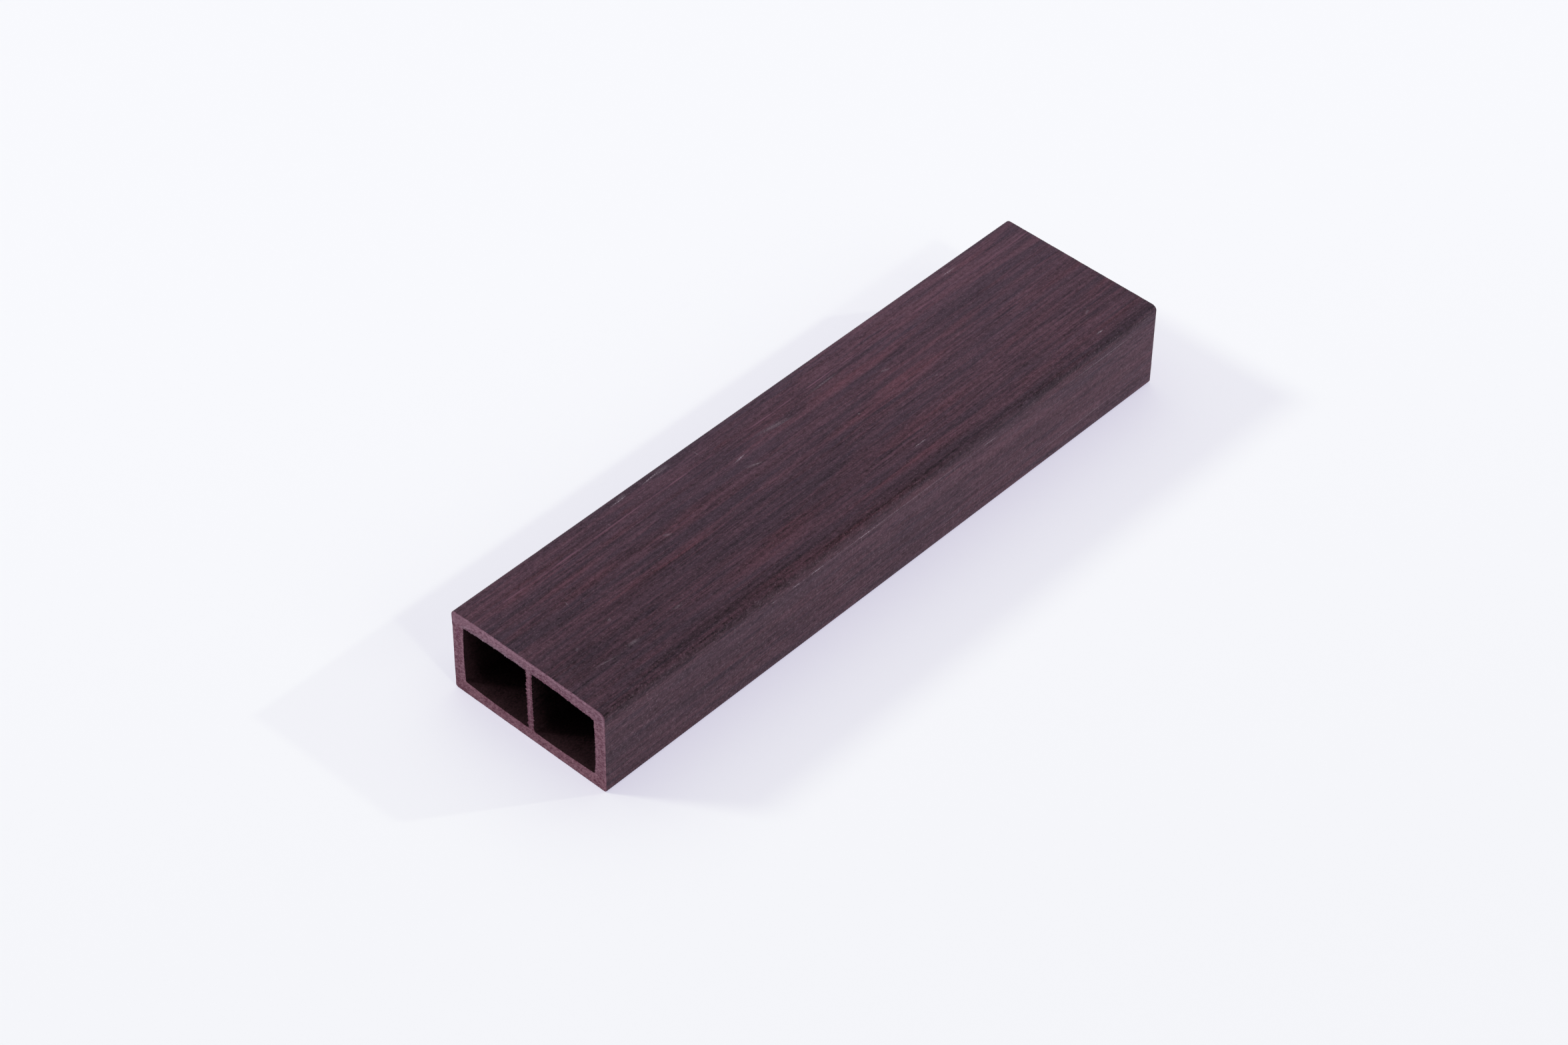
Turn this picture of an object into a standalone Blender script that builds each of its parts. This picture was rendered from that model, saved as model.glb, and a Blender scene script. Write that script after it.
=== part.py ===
"""A two-chamber composite timber tube: one sawn length of a 50 x 25 mm hollow extrusion.

The tube is a single extruded piece. Its section is drawn once, as an outer outline with two chamber
outlines inside it, and is run along the length. Metres; +X runs along the tube, Y across it and +Z up,
with the origin under the middle of the tube, on the face it rests on.
"""

import math

import bpy
from mathutils import Vector

# Outside sizes
TUBE_LENGTH = 0.1968
TUBE_WIDTH = 0.0500
TUBE_HEIGHT = 0.0255
UPPER_CORNER_RADIUS = 0.0015
LOWER_CORNER_RADIUS = 0.0008

# Walls. The top and bottom walls are even beside the web and thicken into a haunch at each side wall,
# and each side wall is a little thinner halfway up.
TOP_WALL = 0.00345
BOTTOM_WALL = 0.0033
SIDE_WALL_AT_MIDDLE = 0.0033
SIDE_WALL_AT_CORNER = 0.0036
HAUNCH_RISE = 0.00055
HAUNCH_REACH = 0.0110

# The web leans a little: its foot is thicker than its head and stands further from the tube's middle.
WEB_HEAD_THICKNESS = 0.0017
WEB_FOOT_THICKNESS = 0.0019
WEB_HEAD_OFFSET = -0.0001
WEB_FOOT_OFFSET = -0.0004

# Fillets inside the chambers
WEB_HEAD_FILLET_RADIUS = 0.0005
WEB_FOOT_FILLET_RADIUS = 0.0007
SIDE_FILLET_RADIUS = 0.0005
HAUNCH_BLEND_RADIUS = 0.1200
SIDE_BLEND_RADIUS = 0.0800

# Facets
DEGREES_PER_FACET = 11.25
FEWEST_FACETS = 4

# Colour of the brown composite, as linear light
COMPOSITE_COLOUR = (0.082, 0.044, 0.052, 1.0)
COMPOSITE_ROUGHNESS = 0.62


def clear_scene():
    """Remove whatever the file opened with."""
    for obj in list(bpy.data.objects):
        bpy.data.objects.remove(obj, do_unlink=True)


def composite_material():
    """The brown mix of wood flour and resin that the whole tube is made of."""
    material = bpy.data.materials.new("wood_composite")
    material.use_nodes = True
    shader = material.node_tree.nodes["Principled BSDF"]
    shader.inputs["Base Color"].default_value = COMPOSITE_COLOUR
    shader.inputs["Roughness"].default_value = COMPOSITE_ROUGHNESS
    shader.inputs["Metallic"].default_value = 0.0
    return material


def fillet_points(before, corner, after, radius):
    """Points of the arc that rounds one corner between its two neighbours, in running order."""
    back = (before - corner).normalized()
    ahead = (after - corner).normalized()
    half_angle = back.angle(ahead) / 2
    centre = corner + (back + ahead).normalized() * radius / math.sin(half_angle)
    tangent_length = radius / math.tan(half_angle)
    start = corner + back * tangent_length - centre
    end = corner + ahead * tangent_length - centre
    sweep = start.angle_signed(end)
    facets = max(FEWEST_FACETS, math.ceil(math.degrees(abs(sweep)) / DEGREES_PER_FACET))
    first_angle = math.atan2(start.y, start.x)
    points = []
    for step in range(facets + 1):
        # Vector.angle_signed is positive clockwise
        angle = first_angle - sweep * step / facets
        points.append(centre + Vector((math.cos(angle), math.sin(angle))) * radius)
    return points


def rounded_outline(corners):
    """A closed outline from (across, up, radius) corners, each rounded by its own radius."""
    points = [Vector((across, up)) for across, up, _ in corners]
    outline = []
    for index, (_, _, radius) in enumerate(corners):
        before = points[index - 1]
        after = points[(index + 1) % len(points)]
        outline += fillet_points(before, points[index], after, radius)
    return outline


def outer_outline():
    """The outside of the section: a rectangle standing on up = 0, with rounded corners."""
    half_width = TUBE_WIDTH / 2
    return rounded_outline([
        (-half_width, 0, LOWER_CORNER_RADIUS),
        (half_width, 0, LOWER_CORNER_RADIUS),
        (half_width, TUBE_HEIGHT, UPPER_CORNER_RADIUS),
        (-half_width, TUBE_HEIGHT, UPPER_CORNER_RADIUS),
    ])


def chamber_outline(side):
    """One chamber beside the web: side is 1 for the +Y chamber and -1 for the -Y one."""
    web_head = WEB_HEAD_OFFSET + side * WEB_HEAD_THICKNESS / 2
    web_foot = WEB_FOOT_OFFSET + side * WEB_FOOT_THICKNESS / 2
    corner_face = side * (TUBE_WIDTH / 2 - SIDE_WALL_AT_CORNER)
    middle_face = side * (TUBE_WIDTH / 2 - SIDE_WALL_AT_MIDDLE)
    haunch_start = corner_face - side * HAUNCH_REACH
    floor = BOTTOM_WALL
    ceiling = TUBE_HEIGHT - TOP_WALL
    return rounded_outline([
        (web_foot, floor, WEB_FOOT_FILLET_RADIUS),
        (haunch_start, floor, HAUNCH_BLEND_RADIUS),
        (corner_face, floor + HAUNCH_RISE, SIDE_FILLET_RADIUS),
        (middle_face, TUBE_HEIGHT / 2, SIDE_BLEND_RADIUS),
        (corner_face, ceiling - HAUNCH_RISE, SIDE_FILLET_RADIUS),
        (haunch_start, ceiling, HAUNCH_BLEND_RADIUS),
        (web_head, ceiling, WEB_HEAD_FILLET_RADIUS),
    ])


def add_outline(curve, points):
    """Add one closed outline to a flat curve."""
    spline = curve.splines.new("POLY")
    spline.points.add(len(points) - 1)
    for spline_point, point in zip(spline.points, points):
        spline_point.co = (point.x, point.y, 0, 1)
    spline.use_cyclic_u = True


def build_tube(collection):
    """The tube: its section's outlines, filled between outside and chambers and run along the length."""
    section = bpy.data.curves.new("tube_section", "CURVE")
    section.dimensions = "2D"
    section.fill_mode = "BOTH"
    section.extrude = TUBE_LENGTH / 2
    add_outline(section, outer_outline())
    for side in (-1, 1):
        add_outline(section, chamber_outline(side))
    section.materials.append(composite_material())
    tube = bpy.data.objects.new("timber_tube", section)
    # The curve's own X, Y and Z become the part's Y, Z and X
    tube.rotation_euler = (math.pi / 2, 0, math.pi / 2)
    collection.objects.link(tube)


def main():
    clear_scene()
    collection = bpy.data.collections.new("composite_timber_tube")
    bpy.context.scene.collection.children.link(collection)
    build_tube(collection)


main()
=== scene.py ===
"""The looks of the composite timber tube: an embossed brown skin, paler sawn ends with torn chamber edges,
and dark chambers, on a white studio floor.

One fine closed mesh stands for the tube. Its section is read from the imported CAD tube, so walls and fillets
are the same, and whatever is done to it afterwards stays inside the CAD tube's box.
Lengths are in metres. Names that end in _MM, the tables of marks, and sizes and places inside the materials
are in millimetres.
"""

import math

import bmesh
import bpy
import numpy as np
from mathutils import Matrix, Vector, geometry, kdtree, noise


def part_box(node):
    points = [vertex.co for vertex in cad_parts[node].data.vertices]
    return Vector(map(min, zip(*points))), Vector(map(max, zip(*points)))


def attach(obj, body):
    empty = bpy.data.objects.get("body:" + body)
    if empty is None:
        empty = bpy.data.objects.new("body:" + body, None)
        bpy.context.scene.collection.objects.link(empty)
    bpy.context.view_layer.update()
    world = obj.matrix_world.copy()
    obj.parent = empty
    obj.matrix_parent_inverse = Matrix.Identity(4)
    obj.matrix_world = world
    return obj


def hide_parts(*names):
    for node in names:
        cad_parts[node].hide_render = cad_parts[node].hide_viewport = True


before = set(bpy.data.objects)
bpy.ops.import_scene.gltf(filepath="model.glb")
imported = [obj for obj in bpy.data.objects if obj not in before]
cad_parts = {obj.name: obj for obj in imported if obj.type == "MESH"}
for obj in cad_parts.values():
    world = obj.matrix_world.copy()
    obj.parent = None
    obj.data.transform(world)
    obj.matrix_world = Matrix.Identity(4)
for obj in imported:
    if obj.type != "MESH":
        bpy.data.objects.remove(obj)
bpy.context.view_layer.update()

MM = 0.001
TUBE_NODE = "timber_tube"
BODY = "root"

LOW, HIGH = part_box(TUBE_NODE)
LENGTH = HIGH.x - LOW.x
WIDTH = HIGH.y - LOW.y
HEIGHT = HIGH.z - LOW.z
TOP_MM = HIGH.z / MM
RIGHT_MM = LOW.y / MM
NEAR_MM = LOW.x / MM
NEAR, FAR = -1, 1

# Numbers of the tube's materials on its mesh
SKIN, CUT, CHAMBER = range(3)

# Spacing of the mesh round the section and along the tube. Rows lie closer by the sawn ends.
SKIN_SPACING = 0.38 * MM
CHAMBER_SPACING = 0.17 * MM
CUT_SPACING = 0.29 * MM
END_ROWS_MM = (0.12, 0.28, 0.5, 0.8, 1.2, 1.8, 2.6, 3.6, 5.0)
SKIN_STEP = 2.2 * MM
CHAMBER_STEP = 16.0 * MM

# The inner points of a cut, as shares of their spacing: how far noise shakes them out of their rows, and how
# far they keep from the rims
CUT_JITTER = 0.5
RIM_CLEARANCE = 0.6

# Points of the CAD mesh closer than the first are one, and those within the second of its end lie on it
WELD_DISTANCE = 0.001 * MM
END_TOLERANCE = 0.01 * MM

# For the triangles of a cut, and the angle in degrees from which an edge is shaded as sharp
TRIANGLE_TOLERANCE_MM = 1e-6
SHARP_ANGLE = 40

# The saw cuts: how far they stand in from the CAD's ends, the depth of their grain and waves, and how far the
# near one is hollowed at the middle of its top edge
NEAR_SETBACK = 0.14 * MM
FAR_SETBACK = 0.05 * MM
CUT_GRAIN = 0.06 * MM
CUT_FINE_GRAIN = 0.8 * CUT_GRAIN
CUT_WAVE = 0.04 * MM
CUT_HOLLOW = 0.22 * MM

# No point of a cut stands in by less than the least depth. The mesh's rows bend to a cut within its reach.
LEAST_DEPTH = 0.004 * MM
CUT_REACH = 5.0 * MM

# The near cut's upper left corner is a facet above a line, given by its two Y and its two Z. The facet stands
# proud by this slope.
FACET_LINE_MM = ((24.9, 16.2), (20.05, 24.5))
FACET_SLOPE = 0.045

# Torn edges of the chambers: depth of the tearing at the ceiling, the web, the side wall and the floor, and
# the share of it at the near end's left wall
TORN_CEILING = 0.30 * MM
TORN_WEB = 0.50 * MM
TORN_WALL = 0.24 * MM
TORN_FLOOR = 0.05 * MM
TORN_LEFT_SHARE = 0.35
WEB_ZONE = WIDTH / 8

# How a wall has to face, from 0 to 1, to be torn not at all and in full: up or down, and sideways
LEVEL_FACING = (0.2, 0.9)
SIDEWAYS_FACING = (0.4, 0.9)

# The tearing is made of coarse and fine noise, and of teeth where noise stands out of its middle range. It
# fades with the distance from the cut and ends at a number of reaches.
TORN_COARSE = 0.9
TORN_FINE = 1.5
TORN_TEETH = 3.5
TEETH_FLOOR = 0.15
TORN_REACH = 0.55 * MM
TORN_FADE = 1.5
TORN_REACHES = 8

# Relief of the skin, made of streaks and a ripple
SKIN_RELIEF = 0.035 * MM
STREAK_SHARE = 0.7
RIPPLE_SHARE = 0.3

# Dents along the long edges, where noise is over a floor. The larger part of a normal lies between these two
# on a rounded edge.
EDGE_WEAR = 0.105 * MM
DENT_FLOOR = 0.12
EDGE_NORMALS = (0.75, 1.0)

# Wear of the outer rims at the cuts: its depth, how far along it fades, and how streaks vary it
RIM_WEAR = 0.025 * MM
RIM_REACH = 0.15 * MM
RIM_EVEN_SHARE = 0.6
RIM_STREAK_SHARE = 0.8

# Sizes of the noise, as one number or along X, Y and Z, and where the cuts and torn edges read it along X
CUT_GRAIN_BLOB = 0.9 * MM
CUT_FINE_BLOB = 0.36 * MM
CUT_WAVE_BLOB = 7.0 * MM
CUT_NOISE_PLACE = 7.0 * MM
TORN_COARSE_BLOB = 1.1 * MM
TORN_FINE_BLOB = 0.36 * MM
TEETH_BLOB = 0.5 * MM
TORN_NOISE_PLACE = 3.0 * MM
STREAK_BLOB_MM = (24.0, 1.1, 1.1)
RIPPLE_BLOB_MM = (60.0, 5.0, 5.0)
DENT_BLOB_MM = (4.0, 2.0, 2.0)

# Bake map: the atlas is a square of this side, in millimetres of skin, with gaps between its patches. The
# chambers and the cuts lie on it at these scales.
ATLAS_MM = 234.0
ATLAS_GAP_MM = 2.0
CHAMBER_BAKE_SCALE = 0.5
CUT_BAKE_SCALE = 1.5

# Numbers kept on the mesh's points for the cut's material: the gaps to the outer rim and to a chamber's rim.
# Points that aren't on a cut get the last number.
GAP_NAMES = ("outer_gap", "inner_gap")
NO_GAP_MM = 50.0


def smoothstep(low, high, value):
    """0 below low, 1 above high and a smooth step between."""
    t = np.clip((value - low) / (high - low), 0.0, 1.0)
    return t * t * (3.0 - 2.0 * t)


def noise_at(points, blob, shift=0.0):
    """Perlin noise from -0.5 to 0.5 at an array of points. Blob is its size, one number or three."""
    return np.array([0.5 * noise.noise(Vector(p)) for p in np.asarray(points) / blob + shift])


def points_at(x, outline):
    """The 3-D points of a (Y, Z) outline at x."""
    return np.column_stack([np.full(len(outline), x), outline])


# Outlines of the section

def signed_area(outline):
    """The area inside an outline, positive if it runs counter-clockwise."""
    y, z = outline.T
    return 0.5 * np.sum(y * np.roll(z, -1) - np.roll(y, -1) * z)


def cad_outlines():
    """The CAD tube's section as closed, counter-clockwise (Y, Z) outlines, the outside first."""
    mesh = bmesh.new()
    mesh.from_mesh(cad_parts[TUBE_NODE].data)
    bmesh.ops.remove_doubles(mesh, verts=mesh.verts, dist=WELD_DISTANCE)
    end_faces = {f for f in mesh.faces if all(abs(v.co.x - LOW.x) < END_TOLERANCE for v in f.verts)}
    neighbours = {}
    for edge in mesh.edges:
        if sum(f in end_faces for f in edge.link_faces) == 1:
            first, second = edge.verts
            neighbours.setdefault(first, []).append(second)
            neighbours.setdefault(second, []).append(first)
    outlines = []
    while neighbours:
        start = min(neighbours, key=lambda v: tuple(v.co))
        loop, last, here = [start], start, neighbours[start][0]
        while here != start:
            loop.append(here)
            ahead = [v for v in neighbours[here] if v != last][0]
            last, here = here, ahead
        for vertex in loop:
            del neighbours[vertex]
        outline = np.array([(v.co.y, v.co.z) for v in loop])
        outlines.append(outline if signed_area(outline) > 0 else outline[::-1])
    mesh.free()
    return sorted(outlines, key=signed_area, reverse=True)


def divided(outline, spacing):
    """The outline with its longer segments divided, so that no step is over spacing."""
    points = []
    for start, end in zip(outline, np.roll(outline, -1, 0)):
        steps = max(1, math.ceil(np.linalg.norm(end - start) / spacing))
        points += [start + (end - start) * i / steps for i in range(steps)]
    return np.array(points)


def started_at(outline, y, z):
    """The outline turned so that it starts at its point nearest to (y, z)."""
    return np.roll(outline, -np.argmin(np.hypot(outline[:, 0] - y, outline[:, 1] - z)), 0)


def outward_normals(outline):
    """The unit normal at each point of a counter-clockwise outline, pointing out of it."""
    along = np.roll(outline, -1, 0) - np.roll(outline, 1, 0)
    normals = np.column_stack([along[:, 1], -along[:, 0]])
    return normals / np.linalg.norm(normals, axis=1, keepdims=True)


def distances_round(outline):
    """The distance along the outline to each of its points, and back to its start as the last one."""
    steps = np.linalg.norm(np.roll(outline, -1, 0) - outline, axis=1)
    return np.concatenate([[0.0], np.cumsum(steps)])


def is_inside(outline, points):
    """Whether each (Y, Z) point lies inside the outline, by counting how often a ray from it crosses."""
    y, z = points[:, :1], points[:, 1:]
    y0, z0 = outline.T
    y1, z1 = np.roll(outline, -1, 0).T
    spans = (z0 > z) != (z1 > z)
    rise = np.where(z1 == z0, 1.0, z1 - z0)
    crosses = spans & (y < y0 + (z - z0) / rise * (y1 - y0))
    return crosses.sum(1) % 2 == 1


def is_in_wall(rims, points):
    """Whether each (Y, Z) point lies inside the first rim and outside the others."""
    inside = is_inside(rims[0], points)
    for rim in rims[1:]:
        inside &= ~is_inside(rim, points)
    return inside


# Shape of the sawn ends

def cut_depth(outline, end):
    """How far the sawn face lies inside the CAD end at each (Y, Z) point."""
    y, z = outline.T
    points = points_at(CUT_NOISE_PLACE * end, outline)
    rough = CUT_GRAIN * noise_at(points, CUT_GRAIN_BLOB)
    rough += CUT_FINE_GRAIN * noise_at(points, CUT_FINE_BLOB, shift=11.0)
    rough += CUT_WAVE * noise_at(points, CUT_WAVE_BLOB, shift=5.0)
    if end == FAR:
        return np.maximum(FAR_SETBACK + rough, LEAST_DEPTH)
    up = np.clip((z - LOW.z) / HEIGHT, 0.0, 1.0)
    hollow = CUT_HOLLOW * up ** 2 * (1.0 - (2.0 * y / WIDTH) ** 2)
    start, stop = np.array(FACET_LINE_MM).T * MM
    along = (stop - start) / np.linalg.norm(stop - start)
    above_line = (y - start[0]) * along[1] - (z - start[1]) * along[0]
    proud = FACET_SLOPE * np.clip(above_line, 0.0, None)
    return np.maximum(NEAR_SETBACK + rough + hollow - proud, LEAST_DEPTH)


def torn_depth(outline, normals, end):
    """How far the torn rim of a chamber stands in from its outline, positive into the chamber."""
    y, z = outline.T
    up, out = normals[:, 1], np.abs(normals[:, 0])
    by_web = np.abs(y) < WEB_ZONE
    left_share = TORN_LEFT_SHARE if end == NEAR else 1.0
    wall = TORN_WALL * np.where(y > 0, left_share, 1.0)
    depth = TORN_CEILING * smoothstep(*LEVEL_FACING, up) + TORN_FLOOR * smoothstep(*LEVEL_FACING, -up)
    depth += smoothstep(*SIDEWAYS_FACING, out) * np.where(by_web, TORN_WEB, wall)
    points = points_at(TORN_NOISE_PLACE * end, outline)
    coarse = noise_at(points, TORN_COARSE_BLOB, shift=2.0)
    fine = noise_at(points, TORN_FINE_BLOB, shift=8.0)
    teeth = np.clip(np.abs(noise_at(points, TEETH_BLOB, shift=21.0)) - TEETH_FLOOR, 0.0, None)
    return depth * (TORN_COARSE * coarse + TORN_FINE * fine + TORN_TEETH * teeth)


# The tube's mesh

class MeshParts:
    """Points with their gaps, faces, material numbers and bake coordinates, gathered for one mesh."""

    def __init__(self):
        self.points = []
        self.faces = []
        self.materials = []
        self.corners = []
        self.gaps = []

    def add_points(self, points):
        """Adds points and returns their numbers."""
        first = len(self.points)
        self.points.extend(tuple(point) for point in points)
        return np.arange(first, len(self.points))

    def add_face(self, numbers, material, corners):
        """Adds a face with the bake coordinates of its corners, in millimetres on the atlas."""
        self.faces.append([int(number) for number in numbers])
        self.materials.append(material)
        self.corners.extend(corners)

    def add_rings(self, rings, material, around, along, outward):
        """Adds quads between rings of point numbers, facing out of the rings or into them."""
        for row in range(len(rings) - 1):
            low, high = rings[row], rings[row + 1]
            for i in range(len(low)):
                j = (i + 1) % len(low)
                numbers = [low[i], low[j], high[j], high[i]]
                left, right = around[i], around[i + 1]
                corners = [(left, along[row]), (right, along[row])]
                corners += [(right, along[row + 1]), (left, along[row + 1])]
                if not outward:
                    numbers.reverse()
                    corners.reverse()
                self.add_face(numbers, material, corners)

    def make_object(self, name, materials):
        """The mesh object, with its materials, its bake map and the gaps on its points."""
        mesh = bpy.data.meshes.new(name)
        mesh.from_pydata(self.points, [], self.faces)
        for material in materials:
            mesh.materials.append(material)
        mesh.polygons.foreach_set("material_index", self.materials)
        bake_map = mesh.uv_layers.new(name="OFBake")
        corners = np.array(self.corners) / ATLAS_MM
        bake_map.data.foreach_set("uv", corners.ravel())
        for column, gap_name in enumerate(GAP_NAMES):
            values = np.full(len(self.points), NO_GAP_MM)
            for numbers, gaps in self.gaps:
                values[numbers] = gaps[column]
            mesh.attributes.new(gap_name, "FLOAT", "POINT").data.foreach_set("value", values)
        mesh.validate()
        mesh.shade_smooth()
        mesh.set_sharp_from_angle(angle=math.radians(SHARP_ANGLE))
        piece = bpy.data.objects.new(name, mesh)
        bpy.context.scene.collection.objects.link(piece)
        return piece


def row_places(step):
    """Distances of the rows from the near end: close together by both ends, evenly spaced between."""
    by_end = [0.0] + [distance * MM for distance in END_ROWS_MM]
    middle = LENGTH - 2 * by_end[-1]
    count = math.ceil(middle / step)
    between = [by_end[-1] + middle * i / count for i in range(1, count)]
    return by_end + between + [LENGTH - distance for distance in reversed(by_end)]


def bent_to_cuts(outline, place):
    """The 3-D points of an outline at a distance from the near end, bent to a cut where one is near."""
    x = np.full(len(outline), LOW.x + place)
    near_share = 1.0 - place / CUT_REACH
    far_share = 1.0 - (LENGTH - place) / CUT_REACH
    if near_share > 0:
        x += near_share * cut_depth(outline, NEAR)
    if far_share > 0:
        x -= far_share * cut_depth(outline, FAR)
    return np.column_stack([x, outline])


def skin_ring(outline, normals, place):
    """One ring of the skin: pressed in by its lengthwise relief, with worn long edges and a worn rim."""
    points = points_at(LOW.x + place, outline)
    streaks = 0.5 + noise_at(points, np.array(STREAK_BLOB_MM) * MM)
    ripple = 0.5 + noise_at(points, np.array(RIPPLE_BLOB_MM) * MM, shift=3.0)
    dents = np.clip(noise_at(points, np.array(DENT_BLOB_MM) * MM, shift=9.0) - DENT_FLOOR, 0.0, None)
    on_corner = 1.0 - smoothstep(*EDGE_NORMALS, np.abs(normals).max(1))
    to_end = min(place, LENGTH - place)
    rim = RIM_WEAR * math.exp(-to_end / RIM_REACH) * (RIM_EVEN_SHARE + RIM_STREAK_SHARE * streaks)
    relief = SKIN_RELIEF * (STREAK_SHARE * streaks + RIPPLE_SHARE * ripple)
    depth = relief + EDGE_WEAR * on_corner * dents + rim
    return bent_to_cuts(outline - normals * depth[:, None], place)


def chamber_ring(outline, normals, place):
    """One ring of a chamber, torn by the saw near both mouths."""
    depth = np.zeros(len(outline))
    for end, distance in ((NEAR, place), (FAR, LENGTH - place)):
        if distance < TORN_REACHES * TORN_REACH:
            fade = math.exp(-(distance / TORN_REACH) ** TORN_FADE)
            depth += torn_depth(outline, normals, end) * fade
    return bent_to_cuts(outline - normals * depth[:, None], place)


def gaps_to(rim, points):
    """The distance from each (Y, Z) point to the nearest point of a rim."""
    tree = kdtree.KDTree(len(rim))
    for number, (y, z) in enumerate(rim):
        tree.insert((y, z, 0), number)
    tree.balance()
    return np.array([tree.find((y, z, 0))[2] for y, z in points])


def cut_points(rims):
    """Points spread over a sawn face between its rims, each rim being (Y, Z) points, the outside first."""
    low, high = rims[0].min(0), rims[0].max(0)
    columns = np.arange(low[0], high[0], CUT_SPACING)
    rows = np.arange(low[1], high[1], CUT_SPACING * math.sqrt(3) / 2)
    y, z = np.meshgrid(columns, rows)
    y = y + CUT_SPACING / 2 * (np.arange(len(rows)) % 2)[:, None]
    points = np.column_stack([y.ravel(), z.ravel()])
    level = np.column_stack([points, np.zeros(len(points))])
    jitter = CUT_JITTER * CUT_SPACING
    points = points + jitter * np.column_stack([
        noise_at(level, CUT_SPACING / 2, shift=1.7),
        noise_at(level, CUT_SPACING / 2, shift=6.1),
    ])
    points = points[is_in_wall(rims, points)]
    return points[gaps_to(np.concatenate(rims), points) > RIM_CLEARANCE * CUT_SPACING]


def cut_triangles(rims, inner):
    """Triangles over a sawn face, as numbers into its rims' points followed by the inner points."""
    points = np.concatenate(rims + [inner])
    edges, first = [], 0
    for rim in rims:
        count = len(rim)
        edges += [(first + i, first + (i + 1) % count) for i in range(count)]
        first += count
    flat = [Vector((y / MM, z / MM)) for y, z in points]
    result = geometry.delaunay_2d_cdt(flat, edges, [], 0, TRIANGLE_TOLERANCE_MM)
    original = [sources[0] for sources in result[3]]
    triangles = np.array([[original[corner] for corner in face] for face in result[2]])
    return triangles[is_in_wall(rims, points[triangles].mean(1))]


def add_cut(parts, rings, end, atlas_place):
    """Adds the sawn face between the last rings of the skin and the chambers."""
    rims = [np.array([parts.points[number][1:] for number in ring]) for ring in rings]
    inner = cut_points(rims)
    depth = cut_depth(inner, end)
    x = LOW.x + depth if end == NEAR else HIGH.x - depth
    numbers = np.concatenate(rings + [parts.add_points(np.column_stack([x, inner]))])
    points = np.concatenate(rims + [inner])
    gaps = [gaps_to(rim, points) / MM for rim in (rims[0], np.concatenate(rims[1:]))]
    parts.gaps.append((numbers, gaps))
    for triangle in cut_triangles(rims, inner):
        order = triangle[::-1] if end == NEAR else triangle
        corners = []
        for number in numbers[order]:
            _, y, z = parts.points[number]
            corners.append((atlas_place[0] + CUT_BAKE_SCALE * (y - LOW.y) / MM,
                            atlas_place[1] + CUT_BAKE_SCALE * (z - LOW.z) / MM))
        parts.add_face(numbers[order], CUT, corners)


def build_tube(materials):
    """The whole tube: skin, chambers and the two sawn ends, as one closed mesh."""
    outlines = cad_outlines()
    parts = MeshParts()
    skin = started_at(divided(outlines[0], SKIN_SPACING), 0.0, LOW.z)
    normals = outward_normals(skin)
    places = row_places(SKIN_STEP)
    rings = [parts.add_points(skin_ring(skin, normals, place)) for place in places]
    around = ATLAS_GAP_MM + distances_round(skin) / MM
    along = ATLAS_GAP_MM + np.array(places) / MM
    parts.add_rings(rings, SKIN, around, along, outward=True)
    near_rings, far_rings = [rings[0]], [rings[-1]]

    column = around[-1] + ATLAS_GAP_MM
    places = row_places(CHAMBER_STEP)
    for outline in outlines[1:]:
        chamber = started_at(divided(outline, CHAMBER_SPACING), 0.0, LOW.z)
        normals = outward_normals(chamber)
        rings = [parts.add_points(chamber_ring(chamber, normals, place)) for place in places]
        around = column + CHAMBER_BAKE_SCALE * distances_round(chamber) / MM
        along = ATLAS_GAP_MM + CHAMBER_BAKE_SCALE * np.array(places) / MM
        parts.add_rings(rings, CHAMBER, around, along, outward=False)
        near_rings.append(rings[0])
        far_rings.append(rings[-1])
        column = around[-1] + ATLAS_GAP_MM

    column = ATLAS_GAP_MM * 2 + distances_round(skin)[-1] / MM
    row = along[-1] + ATLAS_GAP_MM
    add_cut(parts, near_rings, NEAR, (column, row))
    row += CUT_BAKE_SCALE * HEIGHT / MM + ATLAS_GAP_MM
    add_cut(parts, far_rings, FAR, (column, row))
    return parts.make_object("timber_tube_surface", materials)


# Materials

# How quickly finer noise loses strength, and how a pattern's shift is shared over X, Y and Z
NOISE_ROUGHNESS = 0.55
SHIFT_SHARES = (1.0, 0.37, 0.61)

# Noise at these levels turns into the least and the full strength of a grainy mark
GRAIN_LEVELS = (0.36, 0.70)
LEAST_GRAIN = 0.10


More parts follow.
